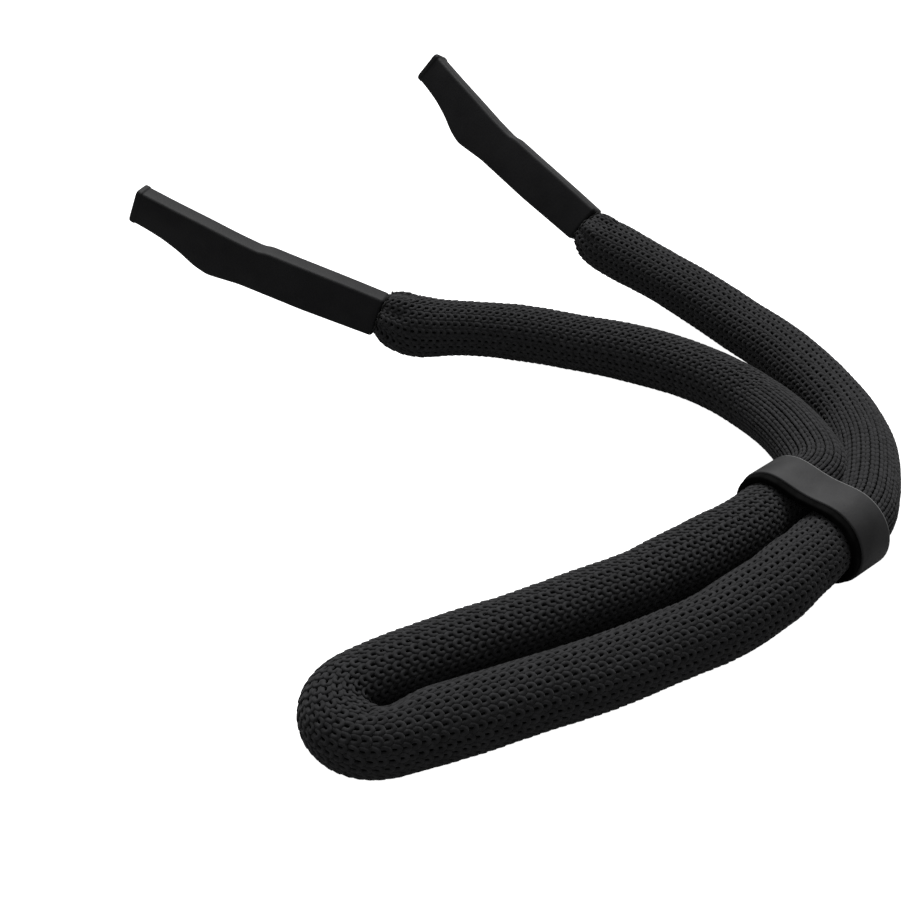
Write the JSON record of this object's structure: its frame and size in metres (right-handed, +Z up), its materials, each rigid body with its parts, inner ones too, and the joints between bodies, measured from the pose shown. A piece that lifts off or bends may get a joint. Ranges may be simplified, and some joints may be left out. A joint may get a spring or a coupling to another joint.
{
  "type": "eyeglass retainer strap",
  "caption": "Foam-cored knit eyeglass retainer strap, folded in half through a leather keeper, with a rubber temple grip on each end.",
  "frame": {"origin": "underside of the keeper, midway between the two runs of the strap and midway along the keeper", "axes": "+X along the two straight runs from the folded tail towards the legs, +Y across the runs to the left leg's side, +Z up"},
  "size_m": [0.1854, 0.209, 0.0491],
  "materials": {
    "knit": "matt jersey knit",
    "foam": "matt closed-cell foam",
    "grip_rubber": "smooth, slight sheen",
    "webbing": "matt webbing",
    "thread": "matt thread",
    "strip_leather": "smooth, soft sheen",
    "lining_cloth": "matt"
  },
  "bodies": {
    "runs": {"left_run_knit": "knit", "left_run_foam": "foam", "right_run_knit": "knit", "right_run_foam": "foam"},
    "keeper": {"keeper_strip": "strip_leather", "keeper_lining": "lining_cloth"},
    "tail": {"tail_knit": "knit", "tail_foam": "foam"},
    "left_leg_root": {"left_root_knit": "knit", "left_root_foam": "foam"},
    "left_leg_middle": {"left_middle_knit": "knit", "left_middle_foam": "foam"},
    "left_leg_end": {"left_end_knit": "knit", "left_end_foam": "foam", "left_end_gather": "thread"},
    "left_grip": {"left_temple_grip": "grip_rubber", "left_grip_tongue": "webbing"},
    "right_leg_root": {"right_root_knit": "knit", "right_root_foam": "foam"},
    "right_leg_middle": {"right_middle_knit": "knit", "right_middle_foam": "foam"},
    "right_leg_end": {"right_end_knit": "knit", "right_end_foam": "foam", "right_end_gather": "thread"},
    "right_grip": {"right_temple_grip": "grip_rubber", "right_grip_tongue": "webbing"}
  },
  "joints": [
    {"name": "keeper_slide", "type": "slide", "parent": "runs", "child": "keeper", "axis": [1, 0, 0], "range_m": [-0.015, 0]},
    {"name": "tail_lift", "type": "hinge", "parent": "runs", "child": "tail", "pos_m": [-0.045, 0, 0.00975], "axis": [0, 1, 0], "range_deg": [-25, 40]},
    {"name": "left_leg_swing", "type": "hinge", "parent": "runs", "child": "left_leg_root", "pos_m": [0.008, 0.009, 0.00975], "axis": [0, 0, 1], "range_deg": [0, 25]},
    {"name": "left_leg_curl", "type": "hinge", "parent": "left_leg_root", "child": "left_leg_middle", "pos_m": [0.02895, 0.04061, 0.0075], "axis": [0, 0, 1], "range_deg": [-25, 25]},
    {"name": "left_leg_lift", "type": "hinge", "parent": "left_leg_middle", "child": "left_leg_end", "pos_m": [0.01615, 0.08983, 0.0075], "axis": [0.8406, 0.5417, 0], "range_deg": [-25, 35], "stiffness_Nm_per_rad": 0.15},
    {"name": "left_grip_flex", "type": "hinge", "parent": "left_leg_end", "child": "left_grip", "pos_m": [-0.01479, 0.12047, 0.01122], "axis": [0.2885, -0.2002, 0.9363], "range_deg": [-24, 24], "stiffness_Nm_per_rad": 0.1},
    {"name": "right_leg_swing", "type": "hinge", "parent": "runs", "child": "right_leg_root", "pos_m": [0.008, -0.009, 0.00975], "axis": [0, 0, 1], "range_deg": [-45, 0]},
    {"name": "right_leg_curl", "type": "hinge", "parent": "right_leg_root", "child": "right_leg_middle", "pos_m": [0.03738, 0.01527, 0.0075], "axis": [0, 0, 1], "range_deg": [-26, 8]},
    {"name": "right_leg_lift", "type": "hinge", "parent": "right_leg_middle", "child": "right_leg_end", "pos_m": [0.05496, 0.06594, 0.0075], "axis": [0.9969, -0.0785, 0], "range_deg": [-25, 35], "stiffness_Nm_per_rad": 0.15},
    {"name": "right_grip_flex", "type": "hinge", "parent": "right_leg_end", "child": "right_grip", "pos_m": [0.05318, 0.11552, 0.01268], "axis": [0.5555, -0.3189, 0.7679], "range_deg": [-24, 24], "stiffness_Nm_per_rad": 0.1}
  ]
}
